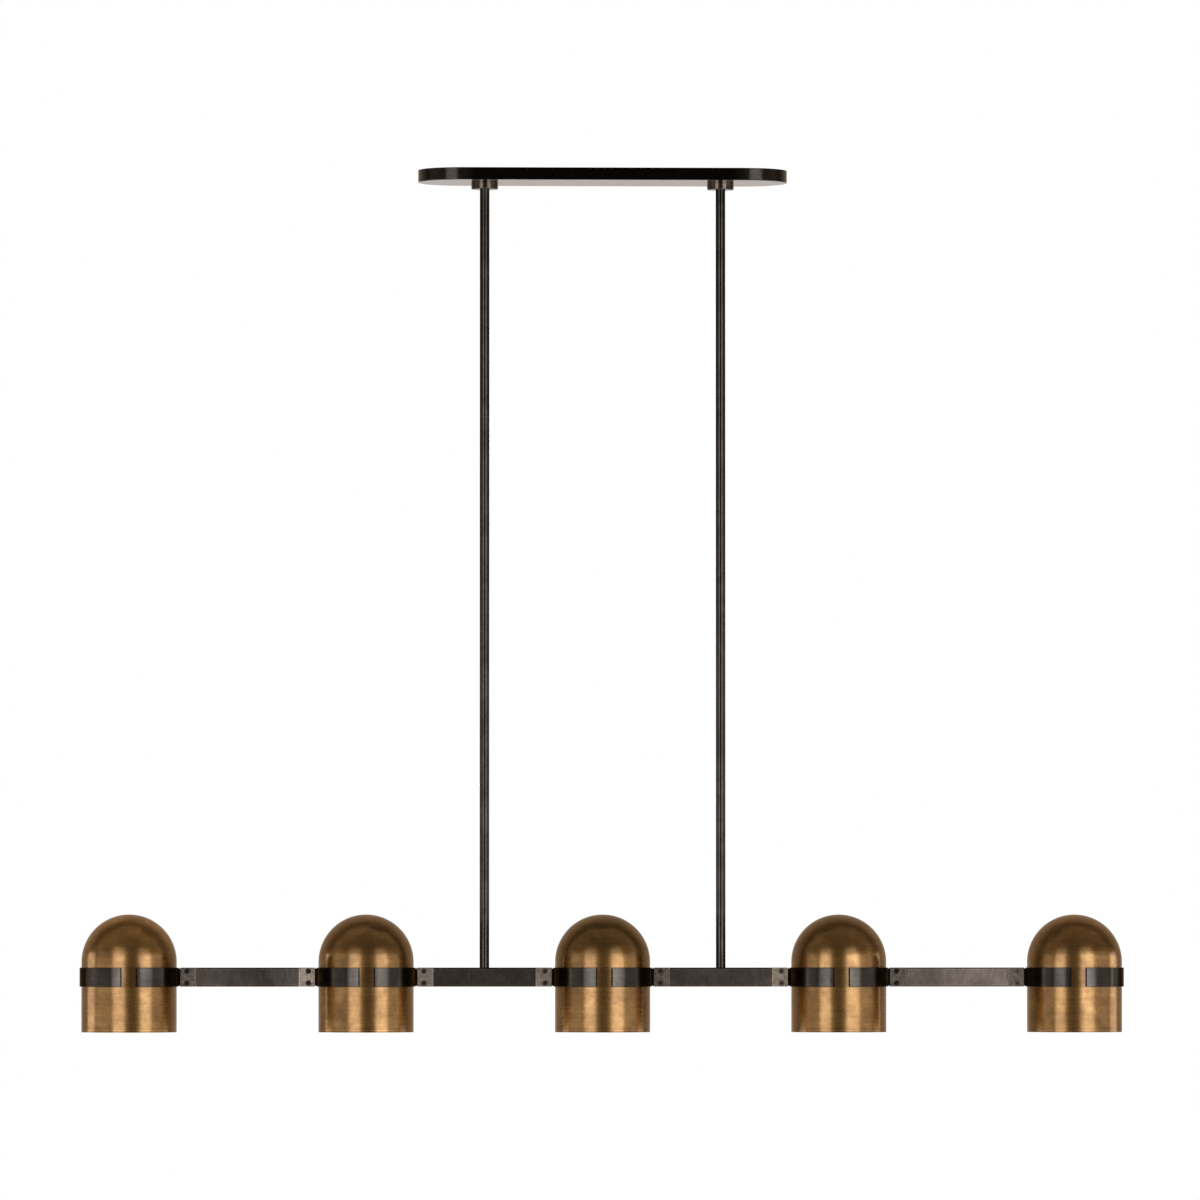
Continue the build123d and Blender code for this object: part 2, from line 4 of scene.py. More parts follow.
import bpy
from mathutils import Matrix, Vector


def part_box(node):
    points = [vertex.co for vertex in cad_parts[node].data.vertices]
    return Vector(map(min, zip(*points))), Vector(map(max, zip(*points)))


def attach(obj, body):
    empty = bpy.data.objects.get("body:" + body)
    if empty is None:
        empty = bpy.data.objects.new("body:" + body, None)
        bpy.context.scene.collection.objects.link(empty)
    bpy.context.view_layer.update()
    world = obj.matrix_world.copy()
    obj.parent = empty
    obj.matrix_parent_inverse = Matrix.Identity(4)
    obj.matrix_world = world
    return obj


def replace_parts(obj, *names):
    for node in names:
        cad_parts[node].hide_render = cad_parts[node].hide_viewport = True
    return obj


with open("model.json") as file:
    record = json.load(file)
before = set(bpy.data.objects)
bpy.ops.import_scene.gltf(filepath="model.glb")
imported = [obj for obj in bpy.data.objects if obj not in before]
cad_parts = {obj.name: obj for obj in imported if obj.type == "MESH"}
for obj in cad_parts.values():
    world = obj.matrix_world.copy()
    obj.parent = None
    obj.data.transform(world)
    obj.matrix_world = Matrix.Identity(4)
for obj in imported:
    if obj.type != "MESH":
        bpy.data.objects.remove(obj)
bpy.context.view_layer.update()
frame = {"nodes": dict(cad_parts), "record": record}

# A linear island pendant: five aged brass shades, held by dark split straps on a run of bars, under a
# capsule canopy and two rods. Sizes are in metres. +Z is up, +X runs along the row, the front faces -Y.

nodes = frame["nodes"]

SHADES = range(1, 6)


# ---------------------------------------------------------------- places read from the frame
def middle(node):
    """The middle of a node's box."""
    lo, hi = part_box(node)
    return (Vector(lo) + Vector(hi)) / 2


SHADE_XS = [middle(f"shade_{number}").x for number in SHADES]
SHADE_PITCH = SHADE_XS[1] - SHADE_XS[0]
SHADE_LOW, SHADE_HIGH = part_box("shade_3")
SHADE_RADIUS = (SHADE_HIGH[0] - SHADE_LOW[0]) / 2
RIM_Z = SHADE_LOW[2]
DOME_Z = SHADE_HIGH[2] - SHADE_RADIUS           # where the dome begins
BAR_Z = middle("bar_2").z

STRAP_LOW, STRAP_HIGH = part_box("strap_3_right")
STRAP_HALF = (STRAP_HIGH[2] - STRAP_LOW[2]) / 2
STRAP_GAP_HALF = STRAP_LOW[0]
STRAP_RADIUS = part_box("strap_1_left")[1][1]
NECK = 0.0018                                   # between a strap's ring and its lug
LUG_START = STRAP_RADIUS + NECK
LUG_LENGTH = STRAP_HIGH[0] - LUG_START
LUG_MIDDLE = LUG_START + LUG_LENGTH / 2
# a lug on either side of each shade, but none at the two ends of the row
LUG_PLACES = [x + side * LUG_MIDDLE for x in SHADE_XS for side in (-1, 1)][1:-1]
LUG_FACE_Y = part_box("joint_screws")[0][1]

CANOPY_LOW, CANOPY_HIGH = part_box("canopy")
CANOPY_BEND_X = CANOPY_HIGH[0] - CANOPY_HIGH[1]     # where its straight edges end
CANOPY_UNDER_Z = CANOPY_LOW[2]


def solid_boxes(node, reach):
    """The boxes of the separate solids in a node whose solids lie further apart than reach."""
    boxes = []
    for vertex in nodes[node].data.vertices:
        for low, high in boxes:
            if all(low[i] - reach < vertex.co[i] < high[i] + reach for i in range(3)):
                for i in range(3):
                    low[i] = min(low[i], vertex.co[i])
                    high[i] = max(high[i], vertex.co[i])
                break
        else:
            boxes.append((list(vertex.co), list(vertex.co)))
    return boxes


# ---------------------------------------------------------------- building node trees
class Wiring:
    """Adds nodes to one tree and joins them. A value may be a constant or another node's output."""

    def __init__(self, tree):
        self.tree = tree

    def node(self, kind, inputs=None, **settings):
        made = self.tree.nodes.new(kind)
        for name, value in settings.items():
            setattr(made, name, value)
        for key, value in (inputs or {}).items():
            self.feed(made.inputs[key], value)
        return made

    def feed(self, socket, value):
        """Links a socket or sets its constant. Colours are given without their alpha."""
        if isinstance(value, bpy.types.NodeSocket):
            self.tree.links.new(value, socket)
        elif socket.type == "RGBA":
            socket.default_value = (*value, 1.0)
        else:
            socket.default_value = value

    def math(self, operation, a, b=0.0, c=0.0):
        return self.node("ShaderNodeMath", {0: a, 1: b, 2: c}, operation=operation).outputs[0]

    def plus(self, a, b):
        return self.math("ADD", a, b)

    def minus(self, a, b):
        return self.math("SUBTRACT", a, b)

    def times(self, a, b):
        return self.math("MULTIPLY", a, b)

    def line(self, value, slope, base):
        """The slope times the value, plus the base."""
        return self.math("MULTIPLY_ADD", value, slope, base)

    def distance(self, a, b):
        """How far a point lies from an origin, from its two coordinates."""
        return self.math("SQRT", self.plus(self.math("POWER", a, 2.0), self.math("POWER", b, 2.0)))

    def vector(self, operation, a, b=(0.0, 0.0, 0.0)):
        made = self.node("ShaderNodeVectorMath", {0: a, 1: b}, operation=operation)
        return made.outputs["Value" if operation in ("LENGTH", "DOT_PRODUCT") else "Vector"]

    def toned(self, colour, level):
        """A colour times a level."""
        made = self.node("ShaderNodeVectorMath", {0: colour, "Scale": level}, operation="SCALE")
        return made.outputs["Vector"]

    def axis(self, vector, name):
        """The coordinate X, Y or Z of a vector."""
        return self.node("ShaderNodeSeparateXYZ", {0: vector}).outputs[name]

    def point(self, x=0.0, y=0.0, z=0.0):
        return self.node("ShaderNodeCombineXYZ", {0: x, 1: y, 2: z}).outputs[0]

    def between(self, value, low, high, to_low=0.0, to_high=1.0, smooth=True):
        """Maps low..high to to_low..to_high and holds the ends."""
        made = self.node("ShaderNodeMapRange", {0: value, 1: low, 2: high, 3: to_low, 4: to_high},
                         interpolation_type="SMOOTHSTEP" if smooth else "LINEAR")
        return made.outputs[0]

    def colour(self, factor, a, b):
        """A colour between a at factor 0 and b at factor 1."""
        return self.node("ShaderNodeMix", {0: factor, 6: a, 7: b}, data_type="RGBA").outputs[2]

    def value(self, factor, a, b):
        """A value between a at factor 0 and b at factor 1."""
        return self.node("ShaderNodeMix", {0: factor, 2: a, 3: b}, data_type="FLOAT").outputs[0]

    def ramp(self, factor, stops):
        """A colour from (factor, colour) pairs."""
        made = self.node("ShaderNodeValToRGB", {0: factor})
        elements = made.color_ramp.elements
        while len(elements) < len(stops):
            elements.new(0.5)
        for element, (place, colour) in zip(elements, stops):
            element.position = place
            element.color = (*colour, 1.0)
        return made.outputs[0]

    def levels(self, length, stops):
        """A level along a length, from (length, level) pairs in rising order."""
        start, end = stops[0][0], stops[-1][0]
        return self.ramp(self.between(length, start, end, smooth=False),
                         [((place - start) / (end - start), (level,) * 3) for place, level in stops])

    def noise(self, place, scale, detail=2.0, roughness=0.5, distortion=0.0):
        made = self.node("ShaderNodeTexNoise", {
            "Vector": place, "Scale": scale, "Detail": detail, "Roughness": roughness,
            "Distortion": distortion})
        return made.outputs["Fac"]

    def group(self, tree, **inputs):
        return self.node("ShaderNodeGroup", inputs, node_tree=tree).outputs

    def place(self):
        return self.node("ShaderNodeTexCoord").outputs["Object"]


KINDS = {int: "NodeSocketInt", float: "NodeSocketFloat", tuple: "NodeSocketVector"}


def add_inputs(tree, inputs):
    """Gives a group its inputs, from their names and defaults."""
    for label, default in inputs.items():
        socket = tree.interface.new_socket(label, in_out="INPUT", socket_type=KINDS[type(default)])
        socket.default_value = default


def opened(tree):
    """A group's tree, its wiring, the sockets that it is given and those that take its results."""
    w = Wiring(tree)
    return tree, w, w.node("NodeGroupInput").outputs, w.node("NodeGroupOutput").inputs


def shader_group(name, inputs, outputs):
    """A group of shader nodes whose outputs are values."""
    tree = bpy.data.node_groups.new(name, "ShaderNodeTree")
    add_inputs(tree, inputs)
    for label in outputs:
        tree.interface.new_socket(label, in_out="OUTPUT", socket_type="NodeSocketFloat")
    return opened(tree)


# ---------------------------------------------------------------- patterns
def make_patina():
    """Soft cloudy blotches, large ones with smaller ones in them, as rubbed metal has."""
    tree, w, given, result = shader_group(
        "patina", {"Size": 0.03, "Contrast": 1.0, "Start": 0.0}, ("Cloud", "Fine"))
    small_clouds, fine_clouds = 4.3, 17.0       # this many times finer than the large ones
    small_share = 0.36
    full_contrast = 3.2
    start = given["Start"]
    place = w.vector("ADD", w.place(), w.point(start, start, start))
    scale = w.math("DIVIDE", 1.0, given["Size"])
    large = w.noise(place, scale, roughness=0.55, distortion=0.7)
    small = w.noise(place, w.times(scale, small_clouds), detail=3.0, roughness=0.6, distortion=0.3)
    mixed = w.value(small_share, large, small)
    spread = w.line(w.minus(mixed, 0.5), w.times(given["Contrast"], full_contrast), 0.5)
    w.feed(result["Cloud"], w.between(spread, 0.0, 1.0))
    w.feed(result["Fine"], w.noise(place, w.times(scale, fine_clouds), roughness=0.6))
    return tree


def make_turning():
    """Fine rings round an upright axis, as a lathe and a polishing wheel leave. The axes repeat along X."""
    tree, w, given, result = shader_group(
        "turning", {"Pitch": 0.316, "Spacing": 0.0008}, ("Rings", "Radius", "Across"))
    around = 14.0               # how fast a ring changes on its way round
    place = w.place()
    x, y, z = (w.axis(place, name) for name in "XYZ")
    half = w.times(given["Pitch"], 0.5)
    near_x = w.math("WRAP", x, half, w.times(half, -1.0))
    radius = w.distance(near_x, y)
    along = w.math("DIVIDE", w.minus(z, radius), given["Spacing"])
    spot = w.point(w.times(x, around), w.times(y, around), along)
    w.feed(result["Rings"], w.noise(spot, 1.0, roughness=0.65))
    w.feed(result["Radius"], radius)
    w.feed(result["Across"], near_x)
    return tree


def make_brushing():
    """Short straight scratches. Lines says how many lie in a metre along each axis."""
    tree, w, given, result = shader_group("brushing", {"Lines": (900.0, 900.0, 60.0)}, ("Scratches",))
    spot = w.vector("MULTIPLY", w.place(), given["Lines"])
    w.feed(result["Scratches"], w.noise(spot, 1.0, detail=3.0, roughness=0.7, distortion=0.2))
    return tree


def make_edges():
    """Finds edges and creases, which the finishes paint lighter as wear and highlight, or darker as shade."""
    tree, w, given, result = shader_group(
        "edge wear, highlight and shade", {"Reach": 0.0008, "Start": 0.02, "Full": 0.2, "Breaks": 0.5, "Break Scale": 260.0},
        ("Edge",))
    soft = w.node("ShaderNodeBevel", {"Radius": given["Reach"]}, samples=4).outputs[0]
    flat = w.node("ShaderNodeNewGeometry").outputs["Normal"]
    turn = w.minus(1.0, w.vector("DOT_PRODUCT", soft, flat))
    breaks = w.noise(w.place(), given["Break Scale"], detail=3.0, roughness=0.6)
    broken = w.line(breaks, given["Breaks"], w.minus(1.0, given["Breaks"]))
    w.feed(result["Edge"], w.times(w.between(turn, given["Start"], given["Full"]), broken))
    return tree


def make_speckle():
    """Fine pits and specks, as a cast or blasted surface has."""
    tree, w, given, result = shader_group("speckle", {"Size": 0.001, "Amount": 0.5}, ("Specks",))
    sparse, denser, softness = 0.75, 0.3, 0.12
    grain = w.noise(w.place(), w.math("DIVIDE", 1.0, given["Size"]), roughness=0.7)
    limit = w.minus(sparse, w.times(given["Amount"], denser))
    w.feed(result["Specks"], w.between(grain, limit, w.plus(limit, softness)))
    return tree


PATINA = make_patina()
TURNING = make_turning()
BRUSHING = make_brushing()
EDGES = make_edges()
SPECKLE = make_speckle()


# ---------------------------------------------------------------- finishes
DARK_TINT = (0.5, 0.45, 0.4)        # what a dark metal still reflects where it is seen at a slant


class Finish:
    """A material with one Principled shader, for one of the record's slots."""

    def __init__(self, name, metallic=1.0, **constants):
        self.material = bpy.data.materials.new(name)
        self.material.use_nodes = True
        self.material.node_tree.nodes.clear()
        self.w = Wiring(self.material.node_tree)
        self.shader = self.w.node("ShaderNodeBsdfPrincipled", {"Metallic": metallic})
        for label, value in constants.items():
            self.w.feed(self.shader.inputs[label.replace("_", " ")], value)
        self.w.node("ShaderNodeOutputMaterial", {0: self.shader.outputs[0]})

    def colour(self, value):
        self.w.feed(self.shader.inputs["Base Color"], value)

    def roughness(self, middling, *layers):
        """A middling roughness, varied by (noise, swing) pairs."""
        rough = middling - sum(swing for noise, swing in layers) / 2
        for noise, swing in layers:
            rough = self.w.line(noise, swing, rough)
        self.w.feed(self.shader.inputs["Roughness"], rough)

    def relief(self, *layers):
        """Bumps from (height, depth in metres) pairs."""
        normal = None
        for height, depth in layers:
            bump = self.w.node("ShaderNodeBump", {"Height": height, "Distance": depth, "Strength": 1.0})
            if normal is not None:
                self.w.feed(bump.inputs["Normal"], normal)
            normal = bump.outputs[0]
        self.w.feed(self.shader.inputs["Normal"], normal)


def along_row(w, places, levels):
    """A level for each place along the row of shades, by which a piece is made lighter or darker there."""
    return w.levels(w.axis(w.place(), "X"), list(zip(places, levels)))


def from_bar_middle(w):
    """How far a spot lies above or below the middle of the bars and straps."""
    return w.math("ABSOLUTE", w.minus(w.axis(w.place(), "Z"), BAR_Z))


def shade_finish():
    """Aged brass: spun, rubbed by hand, darker in clouds, raw and lighter on the inside."""
    skin, skin_softness = 0.0008, 0.0001
    dome_fade = 0.05
    finish = Finish("shade_finish", Coat_Weight=0.85, Coat_Roughness=0.16, Specular_Tint=(0.8, 0.6, 0.42))
    w = finish.w
    patina = w.group(PATINA, Size=0.034, Contrast=0.65)
    turning = w.group(TURNING, Pitch=SHADE_PITCH, Spacing=0.0007)
    wide_rings = w.group(TURNING, Pitch=SHADE_PITCH, Spacing=0.0045)["Rings"]
    z = w.axis(w.place(), "Z")
    # the distance from the axis, and in the dome from its centre, tells the outer skin from the inner one
    reach = w.distance(turning["Radius"], w.math("MAXIMUM", w.minus(z, DOME_Z), 0.0))
    inner_skin = SHADE_RADIUS - skin
    outside = w.between(reach, inner_skin - skin_softness, inner_skin + skin_softness)
    outer = w.ramp(patina["Cloud"], [
        (0.0, (0.2, 0.095, 0.022)), (0.35, (0.285, 0.141, 0.036)),
        (0.7, (0.35, 0.18, 0.05)), (1.0, (0.43, 0.238, 0.077))])
    streaks = w.between(turning["Rings"], 0.25, 0.75, 0.9, 1.08, smooth=False)
    bands = w.between(wide_rings, 0.3, 0.7, 0.9, 1.06)
    # a painted highlight makes a fine bright line on the hem above the rim, with darker bands beside it and
    # darker towards the rim; painted shade darkens the brass beside the strap, with a painted highlight line
    # just outside it
    hem_highlight_and_bands = w.levels(w.minus(z, RIM_Z), [
        (0.0, 0.72), (0.002, 0.8), (0.0026, 1.25), (0.0032, 1.25), (0.0038, 0.86), (0.0052, 0.84),
        (0.006, 1.0)])
    strap_shade_and_highlight = w.levels(w.minus(from_bar_middle(w), STRAP_HALF), [
        (0.0, 0.62), (0.0012, 0.85), (0.002, 1.1), (0.0028, 0.97), (0.01, 1.0)])
    # each dome is painted lighter or darker: partly its own patina, partly a painted stand-in for its
    # reflections
    row_tone_and_sheen = along_row(w, SHADE_XS, (1.7, 1.05, 0.85, 1.0, 1.2))
    dome = w.value(w.between(z, DOME_Z, DOME_Z + dome_fade), 1.0, row_tone_and_sheen)
    tone = w.times(w.times(w.times(streaks, bands), dome), w.times(hem_highlight_and_bands, strap_shade_and_highlight))
    inner = w.colour(patina["Fine"], (0.52, 0.33, 0.13), (0.62, 0.41, 0.18))
    finish.colour(w.colour(outside, inner, w.toned(outer, tone)))
    finish.roughness(0.27, (patina["Cloud"], -0.06), (turning["Rings"], 0.06))
    finish.relief((patina["Cloud"], 0.000003), (turning["Rings"], 0.000005))
    return finish.material


def dark_metal(name, dark, light, edges, roughness, size, lines, start=0.0, tint=DARK_TINT, coat=0.08,
               tones=None):
    """A blackened or bronzed metal with soft clouds, straight scratches and edges of another shade.

    The clouds go from dark to light, and size is theirs. lines are the scratches in a metre along X, Y
    and Z. tones is a function that takes the wiring and gives a level by which the colour is multiplied.
    """
    finish = Finish(name, Coat_Weight=coat, Coat_Roughness=0.3, Specular_Tint=tint)
    w = finish.w
    patina = w.group(PATINA, Size=size, Contrast=0.9, Start=start)
    scratches = w.group(BRUSHING, Lines=lines)["Scratches"]
    edge = w.group(EDGES)["Edge"]
    tone = w.between(scratches, 0.3, 0.7, 0.8, 1.2, smooth=False)
    if tones:
        tone = w.times(tone, tones(w))
    finish.colour(w.colour(edge, w.toned(w.colour(patina["Cloud"], dark, light), tone), edges))
    finish.roughness(roughness, (scratches, 0.1), (patina["Fine"], 0.08))
    finish.relief((patina["Cloud"], 0.00002), (scratches, 0.000008))
    return finish.material


def canopy_shade_and_highlights(w):
    """The canopy's straight edges are painted blackest as shade; its rounded ends and the collars are painted
    lighter as highlights.
    """
    bend_fade, under_fade = 0.016, 0.0003
    # painted shade on the straight edges, painted highlights on the rounded ends and the collars
    straight_level, end_level, collar_level = 0.25, 1.15, 2.6
    place = w.place()
    from_middle = w.math("ABSOLUTE", w.axis(place, "X"))
    canopy = w.between(from_middle, CANOPY_BEND_X - bend_fade, CANOPY_BEND_X, straight_level, end_level)
    collar = w.between(w.axis(place, "Z"), CANOPY_UNDER_Z, CANOPY_UNDER_Z - under_fade)
    return w.value(collar, canopy, collar_level)


def bar_tones(w):
    """Each bar is lighter or darker by its place along the row, with painted shade on its bevel and a painted
    highlight line beside it.
    """
    row_tone_and_sheen = along_row(w, (-0.6, -0.45, -0.4, -0.22, -0.09, 0.0, 0.2, 0.41, 0.6),
                     (0.95, 0.5, 1.0, 0.42, 0.38, 0.5, 0.6, 1.1, 1.7))
    # painted shade on the bevel at the top and bottom, and a painted highlight line just inside it
    bevel = w.levels(w.minus(STRAP_HALF, from_bar_middle(w)), [
        (0.0, 0.5), (0.0013, 0.55), (0.0017, 1.35), (0.0025, 1.3), (0.0031, 1.0)])
    return w.times(row_tone_and_sheen, bevel)


def strap_finish():
    """Near-black satin rings and lighter grey-brown speckled lugs, with painted highlights and painted shade
    on both, darkest in the necks.
    """
    finish = Finish("strap_finish", Specular_Tint=DARK_TINT)
    w = finish.w
    patina = w.group(PATINA, Size=0.03, Contrast=0.8, Start=3.0)
    ring_lines = w.group(TURNING, Pitch=SHADE_PITCH, Spacing=0.0009)
    mottle = w.group(PATINA, Size=0.004, Contrast=0.9, Start=5.0)["Cloud"]
    specks = w.group(SPECKLE, Size=0.0012, Amount=0.5)["Specks"]
    edge = w.group(EDGES)["Edge"]
    across = w.math("ABSOLUTE", ring_lines["Across"])
    from_neck = w.minus(across, LUG_START)
    lug = w.between(across, LUG_START + 0.0008, LUG_START + 0.0014)

    # the rings carry painted light: a painted highlight near the gap, painted shade black on their cut ends,
    # a painted reflection line towards the sides and painted shade darkest beside the lugs
    ring = w.colour(patina["Cloud"], (0.067, 0.057, 0.048), (0.096, 0.082, 0.07))
    ring_painted_light = w.levels(across, [
        (0.0, 0.1), (STRAP_GAP_HALF + 0.00056, 0.1), (STRAP_GAP_HALF + 0.00126, 1.25), (0.0175, 0.95),
        (0.028, 0.62), (0.042, 0.7), (0.0441, 1.2), (0.0462, 1.1), (0.049, 0.38)])
    ring = w.toned(ring, w.times(ring_painted_light, w.between(ring_lines["Rings"], 0.3, 0.7, 0.85, 1.15)))

    # the lugs are mottled and specked; each lug is painted lighter or darker, partly its own tone and partly
    # the light it catches, with a painted highlight line at either end
    cast = w.colour(mottle, (0.228, 0.184, 0.145), (0.515, 0.43, 0.35))
    cast = w.colour(w.times(specks, 0.5), cast, (0.06, 0.05, 0.043))
    end_highlight = w.math("MAXIMUM", w.between(from_neck, 0.0024, 0.0016),
                      w.between(from_neck, LUG_LENGTH - 0.0018, LUG_LENGTH - 0.001))
    row_tone_and_sheen = along_row(w, LUG_PLACES, (0.45, 1.45, 0.91, 0.9, 0.46, 1.03, 0.41, 0.45))
    cast = w.toned(cast, w.times(row_tone_and_sheen, w.value(end_highlight, 1.0, 1.7)))

    # edges: lighter on the lugs as wear and painted highlight, darker on the rings and at the necks as
    # painted shade
    edge_wear_highlight_and_shade = w.colour(lug, (0.03, 0.026, 0.023), (0.48, 0.44, 0.4))
    lug_specks = w.times(specks, lug)
    finish.colour(w.colour(edge, w.colour(lug, ring, cast), edge_wear_highlight_and_shade))
    finish.roughness(0.35, (lug, 0.2), (lug_specks, 0.1))
    finish.relief((patina["Cloud"], 0.00003), (lug_specks, -0.00004))
    return finish.material


def screw_finish():
    """Blackened screws, each face lighter or darker by its place along the row, with painted shade black in
    the socket and round the rim.
    """
    finish = Finish("screw_finish", Specular_Tint=DARK_TINT)
    w = finish.w
    patina = w.group(PATINA, Size=0.004, Contrast=0.8)
    from_row = w.math("ABSOLUTE", w.axis(w.place(), "Y"))
    # painted shade: black below the face, in the socket and round the rim
    recess_shade = w.between(w.minus(from_row, abs(LUG_FACE_Y)), -0.00005, -0.00015)
    face = w.colour(patina["Cloud"], (0.05, 0.038, 0.034), (0.1, 0.077, 0.069))
    face = w.toned(face, along_row(w, LUG_PLACES, (0.7, 1.0, 1.5, 1.5, 1.2, 2.2, 0.45, 1.9)))
    finish.colour(w.colour(recess_shade, face, (0.016, 0.012, 0.011)))
    finish.roughness(0.35, (patina["Fine"], 0.18))
    finish.relief((patina["Fine"], 0.00001))
    return finish.material


def plain_metal(name, dark, light, roughness, size=0.012):
    """A small bright or coloured metal part with faint clouding, from dark to light, and grain."""
    finish = Finish(name)
    w = finish.w
    patina = w.group(PATINA, Size=size, Contrast=0.8)
    finish.colour(w.colour(patina["Cloud"], dark, light))
    finish.roughness(roughness, (patina["Fine"], 0.18))
    finish.relief((patina["Fine"], 0.00001))
    return finish.material


def lampholder_finish():
    """Black moulded phenolic with a faint flow pattern."""
    finish = Finish("lampholder", metallic=0.0)
    w = finish.w
    patina = w.group(PATINA, Size=0.008, Contrast=1.0)
    finish.colour(w.colour(patina["Cloud"], (0.016, 0.014, 0.013), (0.034, 0.03, 0.027)))
    finish.roughness(0.31, (patina["Fine"], 0.14))
    finish.relief((patina["Fine"], 0.000015))
    return finish.material


def bulb_glass_finish():
    """Frosted white glass."""
    finish = Finish("bulb_glass", metallic=0.0, Transmission_Weight=0.55, IOR=1.5)
    w = finish.w
    frost = w.group(SPECKLE, Size=0.0006, Amount=0.9)["Specks"]
    patina = w.group(PATINA, Size=0.01, Contrast=0.6)
    finish.colour(w.colour(patina["Cloud"], (0.93, 0.92, 0.89), (0.97, 0.965, 0.95)))
    finish.roughness(0.47, (frost, 0.1))
    finish.relief((frost, 0.00001))
    return finish.material


finishes = {
    "shade_finish": shade_finish(),
    "strap_finish": strap_finish(),
    "canopy_finish": dark_metal(
        "canopy_finish", dark=(0.042, 0.034, 0.027), light=(0.064, 0.053, 0.043),
        edges=(0.05, 0.043, 0.037), roughness=0.16, size=0.05, lines=(60.0, 60.0, 900.0),
        tint=(1.0, 0.95, 0.93), tones=canopy_shade_and_highlights),
    "rod_finish": dark_metal(
        "rod_finish", dark=(0.044, 0.036, 0.029), light=(0.075, 0.062, 0.051),
        edges=(0.05, 0.043, 0.037), roughness=0.18, size=0.04, lines=(900.0, 900.0, 40.0), start=1.0,
        tint=(0.08, 0.07, 0.06), coat=0.0),
    # the bars' edges are painted much darker than their faces, as shade
    "bar_finish": dark_metal(
        "bar_finish", dark=(0.133, 0.106, 0.09), light=(0.205, 0.168, 0.144),
        edges=(0.04, 0.034, 0.03), roughness=0.38, size=0.03, lines=(900.0, 900.0, 70.0), start=2.0,
        tones=bar_tones),
    "screw_finish": screw_finish(),
    "plated_steel": plain_metal("plated_steel", (0.56, 0.55, 0.52), (0.68, 0.66, 0.6), 0.3),
    "ground_green": plain_metal("ground_green", (0.04, 0.26, 0.1), (0.07, 0.36, 0.15), 0.3),
    "lamp_metal": plain_metal("lamp_metal", (0.56, 0.4, 0.17), (0.68, 0.5, 0.24), 0.28),
    "lampholder": lampholder_finish(),
    "bulb_glass": bulb_glass_finish(),
    "bulb_cap": plain_metal("bulb_cap", (0.68, 0.67, 0.64), (0.78, 0.77, 0.74), 0.25, size=0.006),
}
for row in frame["record"]["subparts"]:
    for slot in nodes[row["node"]].material_slots:
        slot.material = finishes[row["material_slot"]]


# ---------------------------------------------------------------- screws and threads, by geometry nodes
def geometry_group(name, inputs):
    """A group of geometry nodes, with named inputs for its sizes and its material."""
    tree = bpy.data.node_groups.new(name, "GeometryNodeTree")
    tree.interface.new_socket("Geometry", in_out="INPUT", socket_type="NodeSocketGeometry")
    add_inputs(tree, inputs)
    tree.interface.new_socket("Material", in_out="INPUT", socket_type="NodeSocketMaterial")
    tree.interface.new_socket("Geometry", in_out="OUTPUT", socket_type="NodeSocketGeometry")
    return opened(tree)


def finished(w, shape, material):
    """Shades a mesh smooth apart from its sharp edges, makes instances real and gives it its material."""
    sharp_from = 0.6            # radians
    angle = w.node("GeometryNodeInputMeshEdgeAngle").outputs["Unsigned Angle"]
    smooth = w.node("GeometryNodeSetShadeSmooth", {"Geometry": shape, "Shade Smooth": True}).outputs[0]
    smooth = w.node("GeometryNodeSetShadeSmooth", {
        "Geometry": smooth, "Shade Smooth": w.math("LESS_THAN", angle, sharp_from)}, domain="EDGE").outputs[0]
    real = w.node("GeometryNodeRealizeInstances", {0: smooth}).outputs[0]
    return w.node("GeometryNodeSetMaterial", {"Geometry": real, "Material": material}).outputs[0]


def raised(w, shape, height):
    """A mesh moved up by a height."""
    return w.node("GeometryNodeTransform", {"Geometry": shape, "Translation": w.point(z=height)}).outputs[0]


def merged(w, shape, distance):
    return w.node("GeometryNodeMergeByDistance", {"Geometry": shape, "Distance": distance}).outputs[0]


def disc(w, sides, radius):
    return w.node("GeometryNodeMeshCircle", {
        "Vertices": sides, "Radius": radius}, fill_type="NGON").outputs[0]


def turned(w, instances, rotation):
    return w.node("GeometryNodeRotateInstances", {
        "Instances": instances, "Rotation": rotation, "Local Space": True}).outputs[0]


